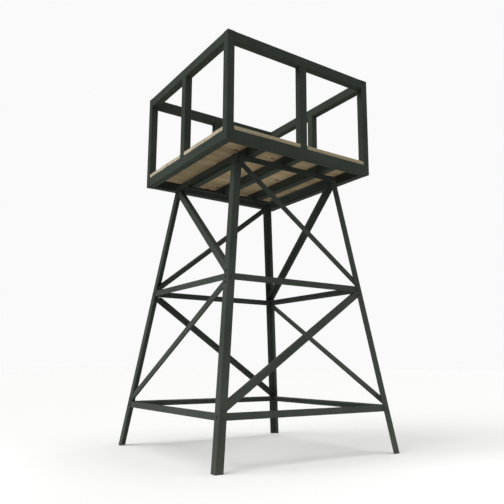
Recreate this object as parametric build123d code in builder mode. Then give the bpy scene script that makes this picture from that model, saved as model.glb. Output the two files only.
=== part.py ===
"""Square steel hunting tower with a timber deck and a railing.

Four angle-iron legs lean in towards the top. Three rings of lighter angle and one diagonal
brace per face and storey tie them together with bolts. The platform stands on the top ring:
a frame of rectangular tube with three joists, plank decking, corner and middle posts, and a
top rail. Millimetres, +Z up, origin on the ground under the middle of the tower.
"""
import os
from math import atan2, cos, degrees, radians, sin

from build123d import *

# Platform and railing
platform_side = 1829            # outside of the square platform frame
frame_bottom = 2930             # underside of the frame above the ground
total_height = 4030             # top of the rail above the ground
tube_width = 80                 # width of every tube, and both sides of the corner posts
middle_post_width = 88          # middle posts along the railing, as deep as the other tubes are wide
tube_depth = 102                # height of the frame, joist and rail tubes
tube_wall = 3
tube_corner = 6                 # outside corner radius of the tubes
cap_thickness = 4               # plates that close the ends of the corner posts
joist_spacing = platform_side / 4

# Deck
board_count = 13
board_gap = 1
board_thickness = 38
board_edge_radius = 3
board_notch_clearance = 2       # gap between a board and the post it is notched around
board_trim_step = 1.5           # boards are sawn to slightly different lengths
screw_head_radius = 5.5
screw_shank_radius = 2.75
screw_head_depth = 3
screw_length = 50
screw_spread = 50               # distance of each screw from its board's middle line
screw_clearance = 0.25

# Tower
foot_half = 1065                # legs' outside corners from the tower's axis, at the ground
top_half = 648                  # the same, at the underside of the platform
leg_width = 76
leg_wall = 6
bar_width = 64                  # ring bars and braces are one size of angle
bar_wall = 5
ring_heels = {"lower": 475, "middle": 1697, "upper": frame_bottom}
mitre_gap = 1                   # half of the gap between two ring bars at a corner
brace_gap = 2                   # gap between a brace and the ring bar beside it
bolt_gauge = 40                 # bolts from the leg's outside corner
ring_bolt_drop = 36             # ring bolts below the ring's heel
brace_bolt_gap = 24             # brace bolts from the edge of the ring bar
brace_heel_low = 40             # heel of a brace above the bolt at its low end
brace_heel_high = 58            # and above the bolt at its high end

# Bolts
bolt_radius = 6
hole_radius = 6.75
hex_across_flats = 19
bolt_head_height = 7.5
nut_height = 10
bolt_spare = 5                  # thread that stands past the nut

# Worked out from the above
half_side = platform_side / 2
deck_bottom = frame_bottom + tube_depth
deck_top = deck_bottom + board_thickness
rail_bottom = total_height - tube_depth
post_centre = half_side - tube_width / 2
clear_span = platform_side - 2 * tube_width
board_width = (platform_side - (board_count - 1) * board_gap) / board_count
lean = atan2(foot_half - top_half, frame_bottom)
grip = leg_wall + bar_wall

SIDES = {"front": 0, "right": 90, "back": 180, "left": 270}
CORNERS = {"front_left": (-1, -1), "front_right": (1, -1), "back_right": (1, 1), "back_left": (-1, 1)}


def save(piece, name):
    """Label a finished piece and write its STEP file."""
    piece.part.label = name
    export_step(piece.part, f"parts/{name}.step")


# ---- Sections -----------------------------------------------------------------------------
def tube_section(width, depth):
    """Hollow rectangle with rounded corners, centred."""
    with BuildSketch() as section:
        RectangleRounded(width, depth, tube_corner)
        RectangleRounded(width - 2 * tube_wall, depth - 2 * tube_wall, tube_corner - tube_wall,
                         mode=Mode.SUBTRACT)
    return section.sketch


def angle_section(width, wall):
    """Rolled angle with its heel at the origin, one leg along +X and the other along -Y."""
    with BuildSketch() as section:
        Rectangle(width, wall, align=(Align.MIN, Align.MAX))
        Rectangle(wall, width, align=(Align.MIN, Align.MAX))
        fillet(section.vertices().sort_by_distance((wall, -wall, 0))[0], radius=wall)
        for toe in ((width, -wall, 0), (wall, -width, 0)):
            fillet(section.vertices().sort_by_distance(toe)[0], radius=wall / 2)
    return section.sketch


# ---- The leaning faces of the tower -------------------------------------------------------
def heading(side):
    """Unit vectors of one side of the tower: along it to the right, and into the tower."""
    turn = radians(SIDES[side])
    along = Vector(cos(turn), sin(turn), 0)
    inward = Vector(-sin(turn), cos(turn), 0)
    return along, inward


def face_plane(side):
    """Outside face of the tower on one side: X along it, Y up the slope, Z out of the tower."""
    along, inward = heading(side)
    outward = inward * -cos(lean) + Vector(0, 0, sin(lean))
    return Plane(origin=inward * -foot_half, x_dir=along, z_dir=outward)


def up_slope(height):
    """Distance up the leaning face to a height above the ground."""
    return height / cos(lean)


def half_at(slope):
    """Distance from the middle of a face to the legs' outside corner, at a place up the slope."""
    return foot_half - slope * sin(lean)


def face_spot(end, slope, inset=bolt_gauge):
    """Point on a face beside its left (-1) or right (+1) corner."""
    return (end * (half_at(slope) - inset), slope)


def ring_slope(level):
    """Heel of a ring, measured up the slope."""
    return up_slope(ring_heels[level])


def brace_bolts(low, high, falls):
    """Bolt points of the brace between two rings, on the face's left and right corners."""
    low_slope = ring_slope(low) + brace_bolt_gap
    high_slope = ring_slope(high) - bar_width - brace_bolt_gap
    slopes = (high_slope, low_slope) if falls else (low_slope, high_slope)
    return [face_spot(-1, slopes[0]), face_spot(1, slopes[1])]


# Upper braces fall to the right, lower braces rise to the right
BRACES = {"lower": ("lower", "middle", False), "upper": ("middle", "upper", True)}


def bolts_at(end):
    """Bolt points beside one corner of a face."""
    spots = [face_spot(end, ring_slope(level) - ring_bolt_drop) for level in ring_heels]
    spots += [brace_bolts(*BRACES[storey])[(end + 1) // 2] for storey in BRACES]
    return spots


# ---- Tower pieces -------------------------------------------------------------------------
def make_leg(corner, left_face, right_face):
    """Angle-iron leg, corner outwards: it is the right end of one face and the left of the next."""
    x_sign, y_sign = CORNERS[corner]
    flat_wall = leg_wall / cos(lean)
    rise = (-x_sign * (foot_half - top_half), -y_sign * (foot_half - top_half), frame_bottom)
    inside = (Align.MIN if x_sign < 0 else Align.MAX, Align.MIN if y_sign < 0 else Align.MAX)
    with BuildPart() as leg:
        with BuildSketch(Plane.XY):
            with Locations((x_sign * foot_half, y_sign * foot_half)):
                Rectangle(leg_width, flat_wall, align=inside)
                Rectangle(flat_wall, leg_width, align=inside)
        extrude(amount=Vector(rise).length, dir=rise)
        for side, end in ((left_face, 1), (right_face, -1)):
            with BuildSketch(face_plane(side)):
                with Locations(*bolts_at(end)):
                    Circle(hole_radius)
            extrude(amount=-2 * leg_wall, mode=Mode.SUBTRACT)
    save(leg, f"leg_{corner}")


def make_ring_bar(side, level):
    """One bar of a ring, on the inside of the legs, mitred where two bars meet."""
    along, inward = heading(side)
    face = face_plane(side)
    slope = ring_slope(level)
    start = face.from_local_coords((-half_at(slope), slope, -leg_wall))
    into = face.z_dir * -1
    spots = [face_spot(end, slope - ring_bolt_drop) for end in (-1, 1)]
    with BuildPart() as bar:
        with BuildSketch(Plane(origin=start, x_dir=into, z_dir=along)):
            add(angle_section(bar_width, bar_wall))
        extrude(amount=2 * half_at(slope))
        for end in (-1, 1):
            mitre = (along * -end - inward).normalized()
            split(bisect_by=Plane(origin=mitre * mitre_gap, z_dir=mitre), keep=Keep.TOP)
        with BuildSketch(face):
            with Locations(*spots):
                Circle(hole_radius)
        extrude(amount=-2 * grip, mode=Mode.SUBTRACT)
    save(bar, f"{level}_ring_{side}")


def make_brace(side, storey):
    """Diagonal of one face and storey, heel uppermost, cut to fit between the legs and rings."""
    low, high, falls = BRACES[storey]
    face = face_plane(side)
    spots = brace_bolts(low, high, falls)
    heel_rises = (brace_heel_high, brace_heel_low) if falls else (brace_heel_low, brace_heel_high)
    heel_start, heel_end = [Vector(spot[0], spot[1] + rise) for spot, rise in zip(spots, heel_rises)]
    reach = (heel_end - heel_start).normalized() * (2 * leg_width)
    start = face.from_local_coords(heel_start - reach + Vector(0, 0, -leg_wall))
    end = face.from_local_coords(heel_end + reach + Vector(0, 0, -leg_wall))
    bottom = ring_slope(low) + brace_gap
    top = ring_slope(high) - bar_width - brace_gap
    edge = leg_wall + brace_gap
    panel = [face_spot(-1, bottom, edge), face_spot(1, bottom, edge),
             face_spot(1, top, edge), face_spot(-1, top, edge)]
    with BuildPart() as brace:
        with BuildSketch(Plane(origin=start, x_dir=face.z_dir * -1, z_dir=end - start)):
            add(angle_section(bar_width, bar_wall))
        extrude(amount=(end - start).length)
        with BuildSketch(face):
            Polygon(*panel, align=None)
        extrude(amount=-2 * bar_width, mode=Mode.INTERSECT)
        with BuildSketch(face):
            with Locations(*spots):
                Circle(hole_radius)
        extrude(amount=-2 * grip, mode=Mode.SUBTRACT)
    save(brace, f"{storey}_brace_{side}")


# ---- Platform pieces ----------------------------------------------------------------------
def on_side(side, distance, height):
    """Point at a height, a distance out from the tower's axis towards the middle of a side."""
    _, inward = heading(side)
    return inward * -distance + Vector(0, 0, height)


def make_side_tube(side, middle_height, name, holes):
    """Tube between two corner posts, flush with their outsides."""
    along, _ = heading(side)
    start = on_side(side, post_centre, middle_height) - along * (clear_span / 2)
    with BuildPart() as tube:
        with BuildSketch(Plane(origin=start, x_dir=(0, 0, 1), z_dir=along)):
            add(tube_section(tube_depth, tube_width))
        extrude(amount=clear_span)
        if holes:
            with Locations(*[(x, y, deck_bottom) for x, y in holes]):
                Hole(screw_shank_radius + screw_clearance, depth=2 * tube_wall)
    save(tube, name)


def make_joist(number, holes):
    """Joist between the front and back frame tubes."""
    x = (number - 2) * joist_spacing
    start = (x, -clear_span / 2, frame_bottom + tube_depth / 2)
    with BuildPart() as joist:
        with BuildSketch(Plane(origin=start, x_dir=(0, 0, 1), z_dir=(0, 1, 0))):
            add(tube_section(tube_depth, tube_width))
        extrude(amount=clear_span)
        with Locations(*[(x, y, deck_bottom) for x, y in holes]):
            Hole(screw_shank_radius + screw_clearance, depth=2 * tube_wall)
    save(joist, f"joist_{number}")


def make_post(place, size, bottom, top, name):
    """Upright tube."""
    with BuildPart() as post:
        with BuildSketch(Plane(origin=(place.X, place.Y, bottom))):
            add(tube_section(*size))
        extrude(amount=top - bottom)
    save(post, name)


def board_y(number):
    """Middle line of a deck board, numbered from the front."""
    return -half_side + board_width / 2 + (number - 1) * (board_width + board_gap)


def make_board(number, posts, holes):
    """Deck plank laid from side to side, notched around the posts that stand in it."""
    trim = number * 3 % 5 * board_trim_step
    middle = board_y(number)
    with BuildPart() as board:
        with BuildSketch(Plane.XY.offset(deck_bottom)):
            with Locations((0, middle)):
                Rectangle(platform_side - 2 * trim, board_width)
            for place, size in posts:
                if abs(place.Y - middle) < (board_width + size[1]) / 2:
                    with Locations((place.X, place.Y)):
                        Rectangle(*[side + 2 * board_notch_clearance for side in size], mode=Mode.SUBTRACT)
        extrude(amount=board_thickness)
        edges = board.edges().filter_by(Axis.X).filter_by(lambda edge: edge.length > clear_span / 3)
        fillet(edges, radius=board_edge_radius)
        with Locations(*[(x, y, deck_top) for x, y in holes]):
            CounterSinkHole(screw_shank_radius + screw_clearance, screw_head_radius + screw_clearance,
                            depth=2 * board_thickness)
    save(board, f"deck_board_{number:02d}")


def screw_spots(number, posts):
    """Two deck screws wherever a board crosses a tube, left out where a post stands."""
    lines = [-post_centre, -joist_spacing, 0, joist_spacing, post_centre]
    rows = [board_y(number) - screw_spread, board_y(number) + screw_spread]
    margin = board_notch_clearance + screw_head_radius
    spots = [(x, y) for x in lines for y in rows]
    return [(x, y) for x, y in spots
            if not any(abs(x - place.X) < size[0] / 2 + margin and abs(y - place.Y) < size[1] / 2 + margin
                       for place, size in posts)]


def over_tube(spots, centre_x, centre_y, length_x, length_y):
    """Screw spots that lie over a tube's plan outline."""
    return [(x, y) for x, y in spots
            if abs(x - centre_x) < length_x / 2 and abs(y - centre_y) < length_y / 2]


# ---- Groups of small pieces ---------------------------------------------------------------
def make_bolts():
    """Hex bolts through legs, ring bars and braces, heads outside."""
    with BuildPart() as bolts:
        for side in SIDES:
            face = face_plane(side)
            spots = bolts_at(-1) + bolts_at(1)
            with BuildSketch(face):
                with Locations(*spots):
                    RegularPolygon(hex_across_flats / 2, 6, major_radius=False)
            extrude(amount=bolt_head_height)
            with BuildSketch(face):
                with Locations(*spots):
                    Circle(bolt_radius)
            extrude(amount=-(grip + nut_height + bolt_spare))
    save(bolts, "tower_bolts")


def make_nuts():
    """Hex nuts on the inside of the bars."""
    with BuildPart() as nuts:
        for side in SIDES:
            with BuildSketch(face_plane(side).offset(-grip)):
                with Locations(*(bolts_at(-1) + bolts_at(1))):
                    RegularPolygon(hex_across_flats / 2, 6, major_radius=False)
                    Circle(bolt_radius + screw_clearance, mode=Mode.SUBTRACT)
            extrude(amount=-nut_height)
    save(nuts, "tower_nuts")


def make_caps(posts):
    """Square plates that close the corner posts at both ends."""
    with BuildPart() as caps:
        for level in (frame_bottom, total_height - cap_thickness):
            with BuildSketch(Plane.XY.offset(level)):
                with Locations(*[(p.X, p.Y) for p in posts]):
                    RectangleRounded(tube_width, tube_width, tube_corner)
            extrude(amount=cap_thickness)
    save(caps, "post_caps")


def make_screws(spots):
    """Countersunk deck screws, heads flush with the boards."""
    with BuildPart() as screws:
        with BuildSketch(Plane.XY.offset(deck_top - screw_length)):
            with Locations(*spots):
                Circle(screw_shank_radius)
        extrude(amount=screw_length)
        with BuildSketch(Plane.XY.offset(deck_top)):
            with Locations(*spots):
                Circle(screw_head_radius)
        extrude(amount=-screw_head_depth, taper=degrees(atan2(screw_head_radius - screw_shank_radius,
                                                              screw_head_depth)))
    save(screws, "deck_screws")


def make_tower():
    """Legs, rings, braces and their bolts."""
    sides = list(SIDES)
    for index, corner in enumerate(CORNERS):
        make_leg(corner, sides[index - 1], sides[index])
    for side in SIDES:
        for level in ring_heels:
            make_ring_bar(side, level)
        for storey in BRACES:
            make_brace(side, storey)
    make_bolts()
    make_nuts()


def make_platform():
    """Frame, joists, posts, rails, decking and their fasteners."""
    corner_posts = [Vector(x * post_centre, y * post_centre) for x, y in CORNERS.values()]
    posts = [(place, (tube_width, tube_width)) for place in corner_posts]
    middle_posts = {}
    for side in SIDES:
        centre = on_side(side, post_centre, 0)
        runs_along_x = abs(centre.Y) > abs(centre.X)
        size = (middle_post_width, tube_width) if runs_along_x else (tube_width, middle_post_width)
        middle_posts[side] = (centre, size)
        posts.append((centre, size))
    board_spots = {number: screw_spots(number, posts) for number in range(1, board_count + 1)}
    spots = [spot for row in board_spots.values() for spot in row]
    for side, (centre, size) in middle_posts.items():
        plan = (clear_span, tube_width) if size[0] > size[1] else (tube_width, clear_span)
        holes = over_tube(spots, centre.X, centre.Y, *plan)
        make_side_tube(side, frame_bottom + tube_depth / 2, f"frame_{side}", holes)
        make_side_tube(side, total_height - tube_depth / 2, f"top_rail_{side}", [])
        make_post(centre, size, deck_bottom, rail_bottom, f"middle_post_{side}")
    for corner, place in zip(CORNERS, corner_posts):
        make_post(place, (tube_width, tube_width), frame_bottom + cap_thickness,
                  total_height - cap_thickness, f"corner_post_{corner}")
    for number in (1, 2, 3):
        make_joist(number, over_tube(spots, (number - 2) * joist_spacing, 0, tube_width, clear_span))
    for number, row in board_spots.items():
        make_board(number, posts, row)
    make_caps(corner_posts)
    make_screws(spots)


os.makedirs("parts", exist_ok=True)
make_tower()
make_platform()
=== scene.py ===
"""Looks for the square hunting tower: paint, planks, welds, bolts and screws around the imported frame."""

import math
import random

import bmesh
import bpy
import numpy
from mathutils import Matrix, Vector, noise


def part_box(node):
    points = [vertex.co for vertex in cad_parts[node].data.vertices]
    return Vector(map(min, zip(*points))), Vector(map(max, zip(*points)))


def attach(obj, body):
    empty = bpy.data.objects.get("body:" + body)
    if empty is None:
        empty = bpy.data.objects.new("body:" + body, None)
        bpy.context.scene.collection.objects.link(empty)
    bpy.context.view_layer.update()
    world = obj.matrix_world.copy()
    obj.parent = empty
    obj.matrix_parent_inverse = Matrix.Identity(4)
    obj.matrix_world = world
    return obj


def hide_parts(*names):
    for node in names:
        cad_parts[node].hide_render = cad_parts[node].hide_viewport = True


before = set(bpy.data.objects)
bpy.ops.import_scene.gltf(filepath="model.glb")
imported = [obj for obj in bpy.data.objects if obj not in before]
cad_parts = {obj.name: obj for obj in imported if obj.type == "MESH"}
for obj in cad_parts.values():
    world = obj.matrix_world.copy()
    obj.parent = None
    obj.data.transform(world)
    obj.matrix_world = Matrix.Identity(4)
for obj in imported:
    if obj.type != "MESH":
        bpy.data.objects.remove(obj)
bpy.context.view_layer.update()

MM = 0.001
SIDES = ("front", "right", "back", "left")
CORNERS = ("front_left", "front_right", "back_right", "back_left")


# ---- Node trees -----------------------------------------------------------------------------
class Shader:
    """A material's node tree, built by short calls."""

    def __init__(self, name):
        self.material = bpy.data.materials.new(name)
        self.material.use_nodes = True
        self.tree = self.material.node_tree
        self.surface = self.tree.nodes["Principled BSDF"]
        self.surface.inputs["IOR"].default_value = 1.45

    def node(self, kind, **settings):
        """A new node. Settings that name an input socket set it, and the others are the node's own."""
        made = self.tree.nodes.new("ShaderNode" + kind)
        for key, value in settings.items():
            if key in made.inputs:
                self.feed(made.inputs[key], value)
            else:
                setattr(made, key, value)
        return made

    def feed(self, socket, value):
        """Link a socket to another one, or set it."""
        if isinstance(value, bpy.types.NodeSocket):
            self.tree.links.new(value, socket)
        elif isinstance(value, (int, float)) and socket.type in ("RGBA", "VECTOR"):
            size = 4 if socket.type == "RGBA" else 3
            socket.default_value = [value] * size
        else:
            socket.default_value = value

    def set(self, name, value):
        """Feed an input of the surface shader."""
        self.feed(self.surface.inputs[name], value)

    def math(self, operation, first, second=0.0):
        made = self.node("Math", operation=operation)
        for socket, value in zip(made.inputs, (first, second)):
            self.feed(socket, value)
        return made.outputs[0]

    def noise(self, vector, scale, detail=3.0, roughness=0.5):
        made = self.node("TexNoise", Vector=vector, Scale=scale, Detail=detail, Roughness=roughness)
        return made.outputs["Fac"]

    def stretch(self, vector, amounts):
        made = self.node("Mapping", Vector=vector)
        made.inputs["Scale"].default_value = amounts
        return made.outputs[0]

    def ramp(self, value, low, high, to_low=0.0, to_high=1.0):
        """Value taken from between low and high to between two other limits, smoothly."""
        made = self.node("MapRange", interpolation_type="SMOOTHSTEP", Value=value)
        for name, number in (("From Min", low), ("From Max", high), ("To Min", to_low), ("To Max", to_high)):
            made.inputs[name].default_value = number
        return made.outputs[0]

    def mix(self, factor, first, second, blend="MIX"):
        """Mix of two colours, each a socket or a colour."""
        made = self.node("Mix", data_type="RGBA", blend_type=blend)
        self.feed(made.inputs[0], factor)
        for socket, value in zip((made.inputs[6], made.inputs[7]), (first, second)):
            self.feed(socket, value)
        return made.outputs[2]

    def bump(self, height, strength, distance):
        return self.node("Bump", Strength=strength, Distance=distance, Height=height).outputs[0]


def rgb(red, green, blue):
    """Linear colour from display values of 0 to 255."""
    def linear(value):
        value /= 255
        return value / 12.92 if value <= 0.04045 else ((value + 0.055) / 1.055) ** 2.4
    return (linear(red), linear(green), linear(blue), 1.0)


ANGLE_SHADE = (63, 69, 63)
TUBE_SHADE = (60, 67, 60)
RUBBED_EDGE = 2.2 * MM                  # how far from an edge the paint is rubbed
SPLASH_HEIGHT = 0.32                    # how high the rain splashes earth


def steel_paint(name, shade, chips=1.0):
    """Flat dark grey-green paint over rolled steel, faded, dusty, rubbed at the edges."""
    s = Shader(name)
    here = s.node("TexCoord").outputs["Object"]
    geometry = s.node("NewGeometry")
    upright = s.stretch(here, (9.0, 9.0, 0.7))
    clouds = s.noise(here, 2.2, 5.0, 0.6)
    streaks = s.noise(upright, 2.5, 4.0, 0.6)
    mottle = s.noise(here, 38.0, 4.0, 0.65)
    peel = s.noise(here, 420.0, 2.0)
    scale = s.noise(here, 110.0, 3.0, 0.6)

    darker, lighter = [rgb(*[part * share for part in shade]) for share in (0.93, 1.08)]
    colour = s.mix(s.ramp(clouds, 0.3, 0.7), darker, lighter)
    faded = rgb(shade[0] + 16, shade[1] + 14, shade[2] + 12)
    colour = s.mix(s.ramp(streaks, 0.5, 0.85, 0.0, 0.35), colour, faded)
    colour = s.mix(s.ramp(mottle, 0.55, 0.8, 0.0, 0.22), colour, rgb(34, 38, 34))

    up = s.node("SeparateXYZ", Vector=geometry.outputs["Normal"]).outputs["Z"]
    drift = s.ramp(s.noise(here, 7.0, 5.0, 0.7), 0.3, 0.75, 0.0, 0.22)
    dust = s.math("MULTIPLY", s.ramp(up, 0.45, 0.98), drift)
    colour = s.mix(dust, colour, rgb(96, 94, 82))

    height = s.node("SeparateXYZ", Vector=here).outputs["Z"]
    splash = s.math("MULTIPLY", s.ramp(height, 0.0, SPLASH_HEIGHT, 1.0, 0.0), s.ramp(mottle, 0.35, 0.65))
    splash = s.math("MULTIPLY", splash, 0.22)
    colour = s.mix(splash, colour, rgb(104, 92, 74))

    rounded = s.node("Bevel", Radius=RUBBED_EDGE, samples=4).outputs[0]
    agreement = s.node("VectorMath", operation="DOT_PRODUCT")
    s.feed(agreement.inputs[0], rounded)
    s.feed(agreement.inputs[1], geometry.outputs["Normal"])
    edge = s.ramp(agreement.outputs["Value"], 0.86, 0.985, 1.0, 0.0)
    rub = s.math("MULTIPLY", edge, s.ramp(s.noise(here, 24.0, 6.0, 0.7), 0.5, 0.62))
    rub = s.math("MULTIPLY", rub, chips)
    colour = s.mix(s.math("MULTIPLY", edge, 0.14), colour, faded)
    colour = s.mix(rub, colour, s.mix(s.ramp(mottle, 0.4, 0.6), rgb(96, 70, 52), rgb(104, 106, 104)))

    rust = s.ramp(s.noise(here, 60.0, 6.0, 0.75), 0.69, 0.74)
    rust = s.math("MULTIPLY", rust, s.ramp(clouds, 0.5, 0.62, 0.0, 0.8 * chips))
    colour = s.mix(rust, colour, rgb(88, 54, 36))

    rough = s.ramp(mottle, 0.3, 0.75, 0.62, 0.76)
    rough = s.math("ADD", rough, s.math("MULTIPLY", dust, 0.2))
    height_map = s.math("ADD", s.math("MULTIPLY", peel, 0.35), scale)
    height_map = s.math("SUBTRACT", height_map, s.math("MULTIPLY", s.math("MAXIMUM", rub, rust), 0.8))
    s.set("Base Color", colour)
    s.set("Roughness", rough)
    s.set("Specular IOR Level", 0.14)
    s.set("Normal", s.bump(height_map, 0.35, 0.35 * MM))
    return s.material


def sawn_timber(name):
    """Rough-sawn softwood. The plank's own coordinates, measured from the tree's heart, are in "grain"."""
    s = Shader(name)
    grain = s.node("Attribute", attribute_name="grain").outputs["Vector"]
    tint = s.node("Attribute", attribute_name="tint").outputs["Vector"]

    knots = s.node("TexVoronoi", Vector=s.stretch(grain, (3.6, 5.0, 5.0)), Scale=1.0, Randomness=1.0)
    knot_distance = knots.outputs["Distance"]
    knot = s.ramp(knot_distance, 0.05, 0.085, 1.0, 0.0)
    knot_rim = s.math("SUBTRACT", s.ramp(knot_distance, 0.075, 0.13, 1.0, 0.0), knot)
    pull = s.ramp(knot_distance, 0.0, 0.32, 0.028, 0.0)
    push = s.node("CombineXYZ", Y=pull, Z=pull).outputs[0]
    bent = s.node("VectorMath", operation="ADD")
    s.feed(bent.inputs[0], grain)
    s.feed(bent.inputs[1], push)
    trunk = s.stretch(bent.outputs[0], (0.09, 1.0, 1.0))
    rings = s.node("TexWave", wave_type="RINGS", rings_direction="X", wave_profile="SAW",
                   Vector=trunk, Scale=58.0, Distortion=5.0, Detail=2.0)
    rings.inputs["Detail Scale"].default_value = 0.16
    late = s.ramp(rings.outputs["Fac"], 0.45, 0.98)

    fibre = s.noise(s.stretch(grain, (5.0, 330.0, 330.0)), 1.0, 4.0, 0.6)
    pores = s.noise(s.stretch(grain, (22.0, 900.0, 900.0)), 1.0, 2.0)
    blotch = s.noise(s.stretch(grain, (2.2, 9.0, 9.0)), 1.0, 4.0, 0.6)
    saw = s.noise(s.stretch(grain, (210.0, 9.0, 9.0)), 1.0, 2.0)
    split = s.ramp(s.noise(s.stretch(grain, (1.6, 120.0, 60.0)), 1.0, 3.0, 0.5), 0.71, 0.75)

    colour = s.mix(s.ramp(blotch, 0.3, 0.72), rgb(198, 178, 142), rgb(174, 152, 117))
    colour = s.mix(s.math("MULTIPLY", late, 0.5), colour, rgb(142, 114, 81))
    colour = s.mix(s.ramp(fibre, 0.45, 0.8, 0.0, 0.35), colour, rgb(118, 100, 76))
    colour = s.mix(knot_rim, colour, rgb(84, 60, 42))
    colour = s.mix(knot, colour, rgb(112, 80, 54))
    colour = s.mix(split, colour, rgb(46, 36, 27))

    facing = s.node("SeparateXYZ", Vector=s.node("NewGeometry").outputs["Normal"])
    end_grain = s.ramp(s.math("ABSOLUTE", facing.outputs["X"]), 0.5, 0.9)
    patchy = s.noise(s.node("TexCoord").outputs["Object"], 5.0, 5.0, 0.65)
    exposed = s.ramp(patchy, 0.25, 0.75, 0.4, 0.8)
    exposed = s.math("MULTIPLY", s.ramp(facing.outputs["Z"], -0.8, -0.1), exposed)
    bleached = s.mix(s.ramp(fibre, 0.4, 0.75), rgb(189, 182, 156), rgb(144, 135, 110))
    bleached_end = s.mix(s.ramp(fibre, 0.4, 0.75), rgb(219, 213, 195), rgb(176, 168, 148))
    colour = s.mix(exposed, colour, s.mix(end_grain, bleached, bleached_end))
    colour = s.mix(1.0, colour, tint, "MULTIPLY")

    relief = s.math("ADD", s.math("MULTIPLY", fibre, 0.8), s.math("MULTIPLY", saw, 0.7))
    relief = s.math("ADD", relief, s.math("MULTIPLY", pores, 0.35))
    relief = s.math("SUBTRACT", relief, s.math("MULTIPLY", late, 0.3))
    relief = s.math("SUBTRACT", relief, s.math("MULTIPLY", split, 2.5))
    s.set("Base Color", colour)
    s.set("Roughness", s.ramp(fibre, 0.3, 0.8, 0.72, 0.9))
    s.set("Specular IOR Level", 0.3)
    s.set("Normal", s.bump(relief, 0.6, 0.5 * MM))
    return s.material


def dark_fastener(name):
    """Black oxide steel, with worn crests and a little rust."""
    s = Shader(name)
    here = s.node("TexCoord").outputs["Object"]
    spots = s.noise(here, 260.0, 4.0, 0.7)
    grime = s.noise(here, 70.0, 3.0)
    colour = s.mix(s.ramp(grime, 0.35, 0.7), rgb(50, 52, 50), rgb(78, 80, 76))
    colour = s.mix(s.ramp(spots, 0.6, 0.72, 0.0, 0.7), colour, rgb(96, 62, 42))
    s.set("Base Color", colour)
    s.set("Metallic", s.ramp(spots, 0.55, 0.7, 0.75, 0.1))
    s.set("Roughness", s.ramp(grime, 0.3, 0.7, 0.42, 0.6))
    s.set("Normal", s.bump(spots, 0.3, 0.15 * MM))
    return s.material


BOUNCE_FULL = 1.5                       # the floor bounces all its light within this distance
BOUNCE_WEAK = 6.0                       # and the least beyond this one


def pale_floor(name):
    """Matt studio floor with painted bounce light. The camera sees it evenly pale, but bounced rays see a
    darker colour that darkens further from 1.5 m to 6 m out, so it bounces light to the tower's foot, and
    less and less from farther out: a painted pool of bounce light.
    """
    s = Shader(name)
    here = s.node("TexCoord").outputs["Object"]
    distance = s.node("VectorMath", operation="LENGTH")
    s.feed(distance.inputs[0], here)
    far = s.ramp(distance.outputs["Value"], BOUNCE_FULL, BOUNCE_WEAK)
    # Painted light: bounced rays see this colour, darker from 1.5 m to 6 m out, a painted pool of bounce
    # light round the tower's foot; the camera sees only the even pale colour below.
    bounce = s.mix(far, rgb(222, 222, 220), rgb(120, 120, 118))
    seen = s.mix(s.noise(here, 1.5, 3.0), rgb(242, 242, 241), rgb(244, 244, 243))
    s.set("Base Color", s.mix(s.node("LightPath").outputs["Is Camera Ray"], bounce, seen))
    s.set("Roughness", 0.9)
    s.set("Specular IOR Level", 0.1)
    return s.material


# ---- Meshes ---------------------------------------------------------------------------------
def add_mesh(name, build, material, sharp=35):
    """New object from a bmesh, in the frame's own coordinates, smooth but for edges over an angle."""
    data = bpy.data.meshes.new(name)
    build.to_mesh(data)
    build.free()
    data.materials.append(material)
    for polygon in data.polygons:
        polygon.use_smooth = True
    data.set_sharp_from_angle(angle=math.radians(sharp))
    made = bpy.data.objects.new(name, data)
    bpy.context.scene.collection.objects.link(made)
    return made


def own(piece, slot, *nodes):
    """The piece is part of the tower, and stands for the CAD nodes named. The slot argument is not used."""
    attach(piece, "root")
    if nodes:
        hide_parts(*nodes)


def islands(node):
    """The separate solids of a CAD node, each as a list of points."""
    build = bmesh.new()
    build.from_mesh(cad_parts[node].data)
    bmesh.ops.remove_doubles(build, verts=build.verts, dist=0.01 * MM)
    left = set(build.verts)
    found = []
    while left:
        group = [left.pop()]
        for vert in group:
            for edge in vert.link_edges:
                other = edge.other_vert(vert)
                if other in left:
                    left.remove(other)
                    group.append(other)
        found.append([vert.co.copy() for vert in group])
    build.free()
    return found


# ---- Planks ---------------------------------------------------------------------------------
PLANK_EDGE = 3 * MM
NOTCH_GAP = 2 * MM                      # around a post
SLICE_LENGTH = 55 * MM                  # the mesh is cut this fine, so that it can be bent
SLICE_WIDTH = 24 * MM
MOST_CUP = 0.5 * MM
MOST_SKEW = 2.0 * MM                    # of the sawn ends
WANDER = 0.25 * MM                      # of the long edges
SAWN = 0.6 * MM                         # unevenness of the ends


def plank_outline(node, low, high):
    """Plan of a plank, with the notches that its CAD solid has around the posts."""
    posts = [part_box(f"corner_post_{corner}") for corner in CORNERS]
    posts += [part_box(f"middle_post_{side}") for side in SIDES]
    outline = bmesh.new()
    corners = [(low.x, low.y), (high.x, low.y), (high.x, high.y), (low.x, high.y)]
    outline.faces.new([outline.verts.new((x, y, low.z)) for x, y in corners])
    for post_low, post_high in posts:
        if post_low.y - NOTCH_GAP > high.y or post_high.y + NOTCH_GAP < low.y:
            continue
        x_cuts = (post_low.x - NOTCH_GAP, post_high.x + NOTCH_GAP)
        y_cuts = (post_low.y - NOTCH_GAP, post_high.y + NOTCH_GAP)
        for axis, cuts in ((0, x_cuts), (1, y_cuts)):
            for cut in cuts:
                slice_flat(outline, axis, cut)
        inside = [face for face in outline.faces
                  if x_cuts[0] < face.calc_center_median().x < x_cuts[1]
                  and y_cuts[0] < face.calc_center_median().y < y_cuts[1]]
        bmesh.ops.delete(outline, geom=inside, context="FACES")
    return outline


def slice_flat(build, axis, place):
    """Cut every face of a mesh on one plane, square to an axis."""
    normal = Vector((0, 0, 0))
    normal[axis] = 1
    bmesh.ops.bisect_plane(build, geom=build.verts[:] + build.edges[:] + build.faces[:],
                           plane_co=normal * place, plane_no=normal, dist=0.02 * MM)


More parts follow.
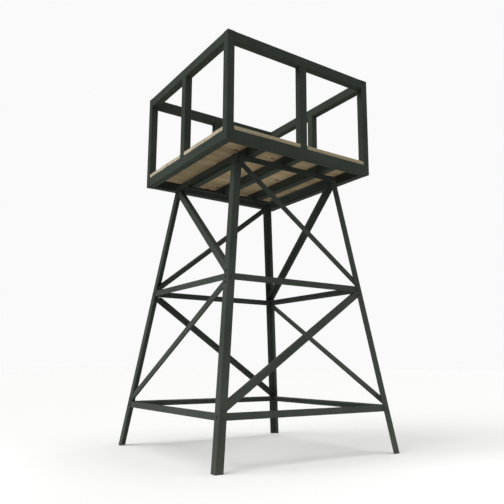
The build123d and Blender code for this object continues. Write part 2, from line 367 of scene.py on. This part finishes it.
def long_edges(build, low, high):
    """A plank's four outside edges that run with the grain."""
    found = []
    for edge in build.edges:
        first, second = (vert.co for vert in edge.verts)
        outside = min(abs(first.y - low.y), abs(first.y - high.y)) < 0.01 * MM
        if outside and abs(first.x - second.x) > 1 * MM and edge.calc_face_angle(0) > 1:
            found.append(edge)
    return found


def plank(number, material):
    """One deck plank: eased edges, uneven sawn ends, slight cup and wander."""
    node = f"deck_board_{number:02d}"
    low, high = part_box(node)
    random.seed(100 + number)
    build = plank_outline(node, low, high)
    thickness = high.z - low.z
    risen = bmesh.ops.extrude_face_region(build, geom=build.faces[:])["geom"]
    bmesh.ops.translate(build, verts=[g for g in risen if isinstance(g, bmesh.types.BMVert)],
                        vec=(0, 0, thickness))
    bmesh.ops.recalc_face_normals(build, faces=build.faces)
    bmesh.ops.bevel(build, geom=long_edges(build, low, high), offset=PLANK_EDGE, segments=3, profile=0.5,
                    affect="EDGES")
    cut = low.x + SLICE_LENGTH / 2
    while cut < high.x:
        slice_flat(build, 0, cut)
        cut += SLICE_LENGTH
    cut = low.y + SLICE_WIDTH
    while cut < high.y - SLICE_WIDTH / 2:
        slice_flat(build, 1, cut)
        cut += SLICE_WIDTH

    middle = (low + high) / 2
    half_width = (high.y - low.y) / 2
    cup = random.uniform(-MOST_CUP, MOST_CUP)
    skew = random.uniform(-MOST_SKEW, MOST_SKEW)
    heart = Vector((random.uniform(0, 40), random.uniform(-0.05, 0.05),
                    random.choice((-1, 1)) * random.uniform(0.05, 0.13)))
    tone = random.uniform(0.86, 1.06)
    warmth = random.uniform(-1, 1)
    tint = (tone * (1 + 0.03 * warmth), tone * (1 - 0.015 * warmth), tone * (1 - 0.05 * warmth))
    rest = [vert.co - middle + heart for vert in build.verts]
    for vert in build.verts:
        across = (vert.co.y - middle.y) / half_width
        wander = noise.noise(Vector((vert.co.x * 1.7, number * 3.1, 0)))
        rough = noise.noise(vert.co * 45 + Vector((number, 0, 0)))
        vert.co.z += cup * (across * across - 0.5) + WANDER * rough
        vert.co.y += WANDER * (wander + 0.6 * rough)
        if abs(vert.co.x - middle.x) > (high.x - low.x) / 2 - 1 * MM:
            vert.co.x += skew * across * (1 if vert.co.x > middle.x else -1) + SAWN * rough

    made = add_mesh(f"plank_{number:02d}", build, material)
    for name, values in (("grain", rest), ("tint", [tint] * len(rest))):
        layer = made.data.attributes.new(name, "FLOAT_VECTOR", "POINT")
        layer.data.foreach_set("vector", [part for value in values for part in value])
    own(made, "deck_timber", node)


# ---- Welds ----------------------------------------------------------------------------------
BEAD_RADIUS = 2.6 * MM
CAP_BEAD_RADIUS = 1.9 * MM
JOIST_BEAD_RADIUS = 3 * MM
BEAD_SINK = 1.4 * MM                    # its middle line below the steel's skin
BEAD_RIPPLE = 2.2 * MM                  # length of one drop
WELD_SHARP = 60                         # degrees


def bead(build, points, radius, closed=True):
    """Weld bead along straight runs: a half-sunk rope of metal with the ripples of each drop."""
    around = 7
    loop = points + points[:1] if closed else points
    for start, end in zip(loop, loop[1:]):
        run = end - start
        count = max(2, round(run.length / BEAD_RIPPLE))
        forward = run.normalized()
        side = forward.orthogonal().normalized()
        other = forward.cross(side)
        rings = []
        for index in range(count + 1):
            place = start + run * (index / count)
            swell = 1 + 0.13 * (index % 2) + 0.16 * noise.noise(place * 90)
            drift = side * (noise.noise(place * 40) * 0.4 * MM)
            turn = [2 * math.pi * k / around for k in range(around)]
            outwards = [side * math.cos(a) + other * math.sin(a) for a in turn]
            rings.append([build.verts.new(place + drift + way * radius * swell) for way in outwards])
        for ring, following in zip(rings, rings[1:]):
            for k in range(around):
                nearby = (k + 1) % around
                build.faces.new((ring[k], ring[nearby], following[nearby], following[k]))
        build.faces.new(rings[0][::-1])
        build.faces.new(rings[-1])


def rectangle_across(low, high, axis, place, sink):
    """Corners of a box's section at a place along one axis, sunk a little under its skin."""
    first, second = [k for k in range(3) if k != axis]
    spots = []
    for far_first, far_second in ((0, 0), (1, 0), (1, 1), (0, 1)):
        spot = Vector((0, 0, 0))
        spot[axis] = place
        spot[first] = high[first] - sink if far_first else low[first] + sink
        spot[second] = high[second] - sink if far_second else low[second] + sink
        spots.append(spot)
    return spots


def weld_ring(build, node, axis, radius=BEAD_RADIUS):
    """Bead all round the butt joints at a node's ends."""
    low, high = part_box(node)
    for end in (low, high):
        bead(build, rectangle_across(low, high, axis, end[axis], BEAD_SINK), radius)


def weld_platform(material):
    """Beads around the ends of the platform's tubes, posts, rails and caps."""
    for group in ("frame", "top_rail"):
        build = bmesh.new()
        for side in SIDES:
            weld_ring(build, f"{group}_{side}", 0 if side in ("front", "back") else 1)
        own(add_mesh(f"welds_{group}", build, material, WELD_SHARP), "painted_steel")
    build = bmesh.new()
    for side in SIDES:
        weld_ring(build, f"middle_post_{side}", 2)
    own(add_mesh("welds_middle_posts", build, material, WELD_SHARP), "painted_steel")
    build = bmesh.new()
    for number in (1, 2, 3):
        weld_ring(build, f"joist_{number}", 1)
    for number in (1, 2, 3):
        low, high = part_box(f"joist_{number}")
        for side in ("front", "back"):
            ring_low, ring_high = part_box(f"upper_ring_{side}")
            y = ring_low.y if side == "front" else ring_high.y
            bead(build, [Vector((low.x, y, low.z)), Vector((high.x, y, low.z))],
                 JOIST_BEAD_RADIUS, closed=False)
    own(add_mesh("welds_joists", build, material, WELD_SHARP), "painted_steel")
    build = bmesh.new()
    for corner in CORNERS:
        weld_ring(build, f"corner_post_{corner}", 2, CAP_BEAD_RADIUS)
    own(add_mesh("welds_post_caps", build, material, WELD_SHARP), "painted_steel")


# ---- Bolts, nuts and screws -----------------------------------------------------------------
WASHER = 1.8 * MM
WASHER_REACH = 1.12                     # washer's radius, over the bolt head's at its corners
SHANK_REACH = 0.547                     # shank's radius, likewise
HEX_CHAMFER = 1.2 * MM
THREAD_PITCH = 1.75 * MM
SCREW_HEAD_RADIUS = 5.5 * MM


def axis_frame(points, longest):
    """Frame on a small turned solid: Z along its axis and away from the tower, X to its widest point."""
    cloud = numpy.array(points)
    middle = Vector(cloud.mean(axis=0))
    _, directions = numpy.linalg.eigh(numpy.cov(cloud.T))
    forward = Vector(directions[:, 2 if longest else 0])
    if forward.x * middle.x + forward.y * middle.y < 0:
        forward.negate()
    offsets = [point - middle for point in points]
    flat = [offset - forward * offset.dot(forward) for offset in offsets]
    reach = max(flat, key=lambda offset: offset.length)
    heights = [offset.dot(forward) for offset, arm in zip(offsets, flat) if arm.length > reach.length * 0.8]
    side = reach.normalized()
    turn = Matrix((side, forward.cross(side), forward)).transposed().to_4x4()
    place = Matrix.Translation(middle + forward * min(heights)) @ turn
    return place, reach.length, max(heights) - min(heights)


def lathe(build, place, profile, count=18):
    """Turned shape from (radius, height) pairs, closed at both ends."""
    turns = [2 * math.pi * k / count for k in range(count)]
    rings = [[build.verts.new(place @ Vector((math.cos(a) * radius, math.sin(a) * radius, height)))
              for a in turns] for radius, height in profile]
    join_rings(build, rings)


def join_rings(build, rings):
    """Skin over a stack of rings, with a face on each end."""
    for first, second in zip(rings, rings[1:]):
        for k in range(len(first)):
            nearby = (k + 1) % len(first)
            build.faces.new((first[k], first[nearby], second[nearby], second[k]))
    build.faces.new(rings[0][::-1])
    build.faces.new(rings[-1])


def hex_block(build, place, corner, low, high):
    """Hexagon with its corners chamfered at both ends."""
    count = 36
    flat = corner * math.cos(math.pi / 6)
    rings = []
    levels = ((low, flat), (low + HEX_CHAMFER, corner), (high - HEX_CHAMFER, corner), (high, flat))
    for height, limit in levels:
        ring = []
        for k in range(count):
            angle = 2 * math.pi * k / count
            sector = (angle + math.pi / 6) % (math.pi / 3) - math.pi / 6
            side = flat / math.cos(math.pi / 6 - abs(sector))
            reach = min(side, limit)
            spot = place @ Vector((math.cos(angle) * reach, math.sin(angle) * reach, height))
            ring.append(build.verts.new(spot))
        rings.append(ring)
    join_rings(build, rings)


def threads(radius, start, end):
    """Profile of a screw thread as rings of crests and roots."""
    profile = []
    height = start
    while height - THREAD_PITCH > end:
        profile += [(radius * 0.86, height), (radius, height - THREAD_PITCH * 0.45),
                    (radius, height - THREAD_PITCH * 0.55)]
        height -= THREAD_PITCH
    return profile + [(radius * 0.86, height), (radius * 0.7, end)]


def bolts(material):
    """Hex bolts with a washer under each head and thread at the end."""
    build = bmesh.new()
    for points in islands("tower_bolts"):
        place, corner, height = axis_frame(points, longest=True)
        tail = min((place.inverted() @ point).z for point in points)
        shank = corner * SHANK_REACH
        rim = corner * WASHER_REACH
        lathe(build, place, [(rim, 0), (rim, WASHER * 0.8), (corner * 1.08, WASHER)], 28)
        hex_block(build, place, corner, WASHER, height)
        lathe(build, place, [(shank * 0.6, 0.1 * MM), (shank, 0)] + threads(shank, tail * 0.4, tail))
    own(add_mesh("bolts", build, material), "dark_fasteners", "tower_bolts")


def nuts(material):
    """Hex nuts, chamfered on both faces."""
    build = bmesh.new()
    for points in islands("tower_nuts"):
        place, corner, height = axis_frame(points, longest=False)
        hex_block(build, place, corner, 0, height)
    own(add_mesh("nuts", build, material), "dark_fasteners", "tower_nuts")


def screws(material):
    """Deck screws: shallow domed heads with a six-lobed drive, and their shanks."""
    count = 24
    build = bmesh.new()
    for points in islands("deck_screws"):
        low = Vector([min(point[k] for point in points) for k in range(3)])
        high = Vector([max(point[k] for point in points) for k in range(3)])
        place = Matrix.Translation(((low.x + high.x) / 2, (low.y + high.y) / 2, high.z))
        shapes = ((0.5, low.z - high.z, 0), (0.5, -3 * MM, 0), (0.97, -0.3 * MM, 0), (1, 0.25 * MM, 0),
                  (0.8, 0.6 * MM, 0), (0.42, 0.7 * MM, 0.16), (0.36, -1.2 * MM, 0.16))
        rings = []
        for share, height, lobes in shapes:
            ring = []
            for k in range(count):
                angle = 2 * math.pi * k / count
                reach = SCREW_HEAD_RADIUS * share * (1 + lobes * math.cos(6 * angle))
                spot = place @ Vector((math.cos(angle) * reach, math.sin(angle) * reach, height))
                ring.append(build.verts.new(spot))
            rings.append(ring)
        join_rings(build, rings)
    own(add_mesh("screws", build, material), "dark_fasteners", "deck_screws")


# ---- Studio ---------------------------------------------------------------------------------
CAMERA_PLACE = (-3.446, -5.169, 0.861)
CAMERA_HEADING = math.radians(34.36)    # to the right of straight ahead, +Y
CAMERA_PITCH = math.radians(9.8)        # upwards
CAMERA_ROLL = math.radians(0.16)
CAMERA_LENS = 40.55                     # millimetres on a 36 mm sensor
CAMERA_SHIFT = (-0.0158, 0.0315)        # how far the photograph is framed off its middle


def make_camera():
    """Camera low in front of the tower's left corner, looking up."""
    data = bpy.data.cameras.new("camera")
    data.sensor_width = 36
    data.lens = CAMERA_LENS
    data.shift_x, data.shift_y = CAMERA_SHIFT
    camera = bpy.data.objects.new("camera", data)
    turn = Matrix.Rotation(-CAMERA_HEADING, 4, "Z") @ Matrix.Rotation(math.pi / 2 + CAMERA_PITCH, 4, "X")
    camera.matrix_world = Matrix.Translation(CAMERA_PLACE) @ turn @ Matrix.Rotation(CAMERA_ROLL, 4, "Z")
    bpy.context.scene.collection.objects.link(camera)
    bpy.context.scene.camera = camera


def add_light(name, kind, energy, towards, place=(0, 0, 0), **settings):
    """Light that shines from a direction, and that the camera doesn't see."""
    data = bpy.data.lights.new(name, kind)
    data.energy = energy
    for key, value in settings.items():
        setattr(data, key, value)
    light = bpy.data.objects.new(name, data)
    light.location = place
    light.rotation_euler = Vector(towards).to_track_quat("Z", "Y").to_euler()
    light.visible_camera = False
    bpy.context.scene.collection.objects.link(light)


def make_light():
    """Broad key from the left, weak fill from the right, low panels that fade up the tower, pale surround."""
    add_light("key", "SUN", 1.95, (-1, 0.12, 0.84), angle=math.radians(50), color=(1.0, 0.99, 0.97))
    add_light("fill", "SUN", 1.2, (1, -0.2, 0.4), angle=math.radians(90))
    add_light("top", "SUN", 1.0, (0, 0, 1), angle=math.radians(60))
    add_light("low_front", "AREA", 19, (0.2, -1, 0.06), place=(1.1, -4.0, 0.75),
              shape="RECTANGLE", size=2.4, size_y=1.0)
    add_light("low_left", "AREA", 26, (-1, 0, 0.06), place=(-4.2, 0.6, 0.6),
              shape="RECTANGLE", size=2.0, size_y=1.0)

    world = bpy.data.worlds.new("surround")
    bpy.context.scene.world = world
    world.use_nodes = True
    nodes, links = world.node_tree.nodes, world.node_tree.links
    lit = nodes["Background"]
    lit.inputs["Color"].default_value = (0.96, 0.985, 1.0, 1.0)
    lit.inputs["Strength"].default_value = 0.24
    seen = nodes.new("ShaderNodeBackground")
    seen.inputs["Color"].default_value = (0.955, 0.955, 0.955, 1.0)
    chooser = nodes.new("ShaderNodeMixShader")
    links.new(nodes.new("ShaderNodeLightPath").outputs["Is Camera Ray"], chooser.inputs[0])
    links.new(lit.outputs[0], chooser.inputs[1])
    links.new(seen.outputs[0], chooser.inputs[2])
    links.new(chooser.outputs[0], nodes["World Output"].inputs["Surface"])
    bpy.context.scene.view_settings.view_transform = "Standard"


FLOOR_HALF = 120


def make_floor():
    """Pale floor, far wider than the view, whose material paints a pool of bounce light round the tower's
    foot.
    """
    build = bmesh.new()
    bmesh.ops.create_grid(build, x_segments=4, y_segments=4, size=FLOOR_HALF)
    floor = add_mesh("floor", build, pale_floor("floor"))


# ---- The tower ------------------------------------------------------------------------------
def paint_frame():
    """Give the CAD solids that stay in view their finish: tower angles, and platform tubes."""
    angle_paint = steel_paint("angle_paint", ANGLE_SHADE)
    tube_paint = steel_paint("tube_paint", TUBE_SHADE, chips=0.7)
    tower = ("leg_", "lower_", "middle_ring", "upper_")
    for name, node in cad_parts.items():
        paint = angle_paint if name.startswith(tower) else tube_paint
        node.data.materials.clear()
        node.data.materials.append(paint)
    return tube_paint


make_camera()
make_light()
make_floor()
paint = paint_frame()
timber = sawn_timber("sawn_timber")
for board in range(1, 1 + sum(name.startswith("deck_board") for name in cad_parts)):
    plank(board, timber)
weld_platform(paint)
fastener = dark_fastener("dark_fastener")
bolts(fastener)
nuts(fastener)
screws(fastener)
